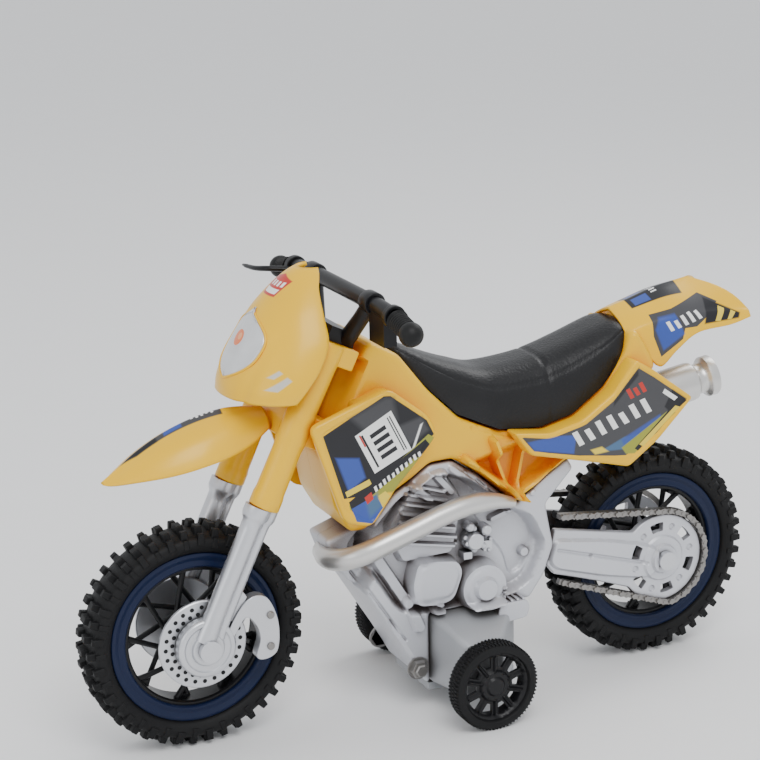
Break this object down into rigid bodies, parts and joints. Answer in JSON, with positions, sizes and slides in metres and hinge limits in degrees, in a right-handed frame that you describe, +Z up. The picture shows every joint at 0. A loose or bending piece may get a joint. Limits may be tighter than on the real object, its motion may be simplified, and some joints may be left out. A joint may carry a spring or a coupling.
{
  "type": "toy motocross motorcycle",
  "caption": "Moulded toy dirt bike with steering fork, spoked knobby wheels, friction drive wheels under the engine, seat, shrouds and high tail.",
  "frame": {"origin": "on the ground, midway between the two wheel axles, in the middle plane", "axes": "+X forward, +Y the rider's left, +Z up"},
  "size_m": [0.288, 0.132, 0.1815],
  "materials": {
    "tyre": "knobby matt black",
    "rim_blue": "satin navy",
    "black_plastic": "satin black",
    "yellow_plastic": "glossy",
    "silver_paint": "silver painted plastic",
    "engine_silver": "matt silver plastic",
    "grey_plastic": "grey plastic",
    "seat_black": "leather grained black",
    "lens": "clear over silver",
    "amber": "translucent amber",
    "steel": "bright",
    "grip_rubber": "matt",
    "flywheel_metal": "turned",
    "gear_plastic": "white nylon",
    "cell_metal": "bright",
    "board": "green board",
    "red_plastic": "red"
  },
  "bodies": {
    "chassis": {"frame_left": "yellow_plastic", "frame_right": "yellow_plastic", "engine_left": "engine_silver", "engine_right": "engine_silver", "seat": "seat_black", "tail_fender": "yellow_plastic", "side_panel_left": "yellow_plastic", "side_panel_right": "yellow_plastic", "exhaust_header": "silver_paint", "muffler": "silver_paint", "swingarm_left": "engine_silver", "swingarm_right": "engine_silver", "chain_left": "engine_silver", "chain_right": "engine_silver", "rear_axle": "steel", "rear_axle_caps": "silver_paint", "carburettor": "engine_silver", "gearbox_shell": "grey_plastic", "gearbox_floor": "grey_plastic", "cradle_bolt": "silver_paint", "battery_holder": "black_plastic", "cells": "cell_metal", "battery_door": "engine_silver", "circuit_board": "board", "speaker": "black_plastic", "screws": "steel"},
    "fork": {"fork_yoke": "yellow_plastic", "fork_leg_left": "silver_paint", "fork_leg_right": "silver_paint", "brake_disc_left": "silver_paint", "brake_disc_right": "silver_paint", "front_fender": "yellow_plastic", "headlight_cowl": "yellow_plastic", "headlight_lens": "lens", "lamp": "amber", "handlebar": "black_plastic", "grip_left": "grip_rubber", "grip_right": "grip_rubber", "hand_lever": "black_plastic", "front_axle": "steel", "front_axle_caps": "silver_paint", "steering_pin": "steel"},
    "front_wheel": {"front_tyre": "tyre", "front_rim": "rim_blue", "front_spokes": "black_plastic"},
    "rear_wheel": {"rear_tyre": "tyre", "rear_rim": "rim_blue", "rear_spokes": "black_plastic"},
    "drive_axle_set": {"drive_axle": "steel", "drive_hubs": "black_plastic", "drive_tyres": "tyre", "drive_gear": "gear_plastic"},
    "idler": {"idler_gear": "gear_plastic"},
    "flywheel_set": {"flywheel": "flywheel_metal"},
    "button": {"sound_button": "red_plastic"}
  },
  "joints": [
    {"name": "steering", "type": "hinge", "parent": "chassis", "child": "fork", "pos_m": [0.0946, 0, 0.04139], "axis": [-0.4352, 0, 0.9003], "range_deg": [-20, 20]},
    {"name": "front_wheel_spin", "type": "hinge", "parent": "fork", "child": "front_wheel", "pos_m": [0.1, 0, 0.044], "axis": [0, 1, 0], "continuous": true},
    {"name": "rear_wheel_spin", "type": "hinge", "parent": "chassis", "child": "rear_wheel", "pos_m": [-0.1, 0, 0.044], "axis": [0, 1, 0], "continuous": true},
    {"name": "drive_spin", "type": "hinge", "parent": "chassis", "child": "drive_axle_set", "pos_m": [-0.0069, 0, 0.0177], "axis": [0, 1, 0], "continuous": true},
    {"name": "idler_spin", "type": "hinge", "parent": "chassis", "child": "idler", "pos_m": [-0.0089, 0, 0.02905], "axis": [0, 1, 0], "continuous": true},
    {"name": "flywheel_spin", "type": "hinge", "parent": "chassis", "child": "flywheel_set", "pos_m": [-0.01841, 0, 0.02558], "axis": [0, 1, 0], "continuous": true},
    {"name": "button_press", "type": "slide", "parent": "chassis", "child": "button", "axis": [0, 1, 0], "range_m": [0, 0.0015], "stiffness_N_per_m": 300}
  ],
  "couplings": [
    {"joint": "idler_spin", "follows": "flywheel_spin", "ratio": -0.33333},
    {"joint": "drive_spin", "follows": "flywheel_spin", "ratio": 0.11905}
  ]
}
